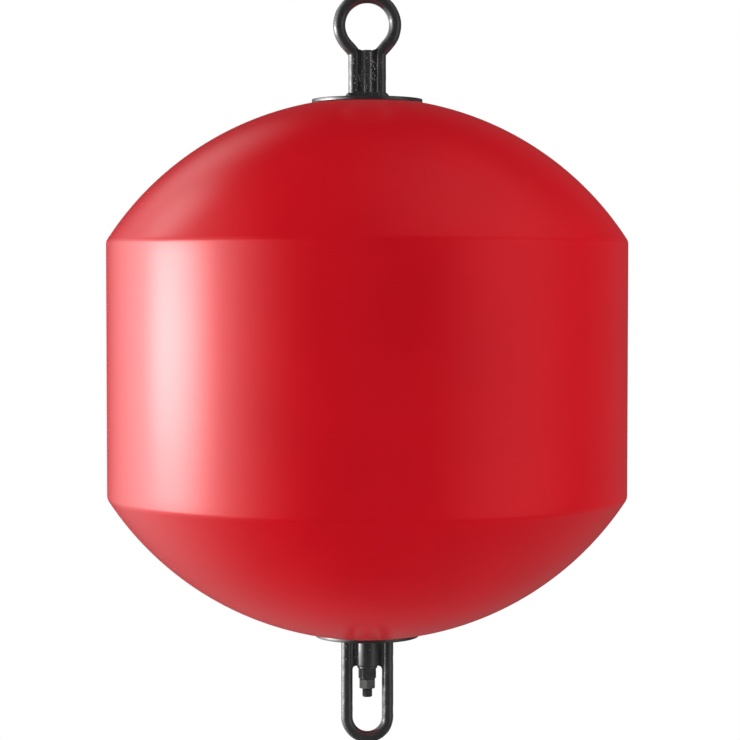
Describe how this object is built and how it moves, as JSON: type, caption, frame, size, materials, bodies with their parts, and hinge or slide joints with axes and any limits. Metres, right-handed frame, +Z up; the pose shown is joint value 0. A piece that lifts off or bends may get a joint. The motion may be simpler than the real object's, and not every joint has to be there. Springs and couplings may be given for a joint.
{
  "type": "mooring buoy",
  "caption": "Red mooring buoy: a cylindrical float with domed ends on a steel rod, with a welded ring eye on top and a swivelling bow below for the mooring chain.",
  "frame": {"origin": "on the rod's axis at mid-height of the float, where the service waterline is taken", "axes": "+Z up along the rod towards the ring eye, X across the plane of both eyes, Y through the eyes"},
  "size_m": [0.7999, 0.8, 1.1608],
  "materials": {
    "float_plastic": "glossy moulded polyethylene",
    "black_steel": "black coated round bar and plate",
    "weld_steel": "black coated weld",
    "fastener_steel": "dark coated nuts and washer"
  },
  "bodies": {
    "buoy": {"float_hull": "float_plastic", "top_plate": "black_steel", "bottom_plate": "black_steel", "tie_rod": "black_steel", "top_eye": "black_steel", "top_eye_weld": "weld_steel", "washer": "fastener_steel", "hex_nut": "fastener_steel", "lock_nut": "fastener_steel"},
    "swivel": {"swivel_boss": "black_steel", "swivel_bow": "black_steel", "swivel_weld": "weld_steel"}
  },
  "joints": [
    {"name": "swivel_turn", "type": "hinge", "parent": "buoy", "child": "swivel", "pos_m": [0, 0, -0.43768], "axis": [0, 0, 1], "continuous": true}
  ]
}
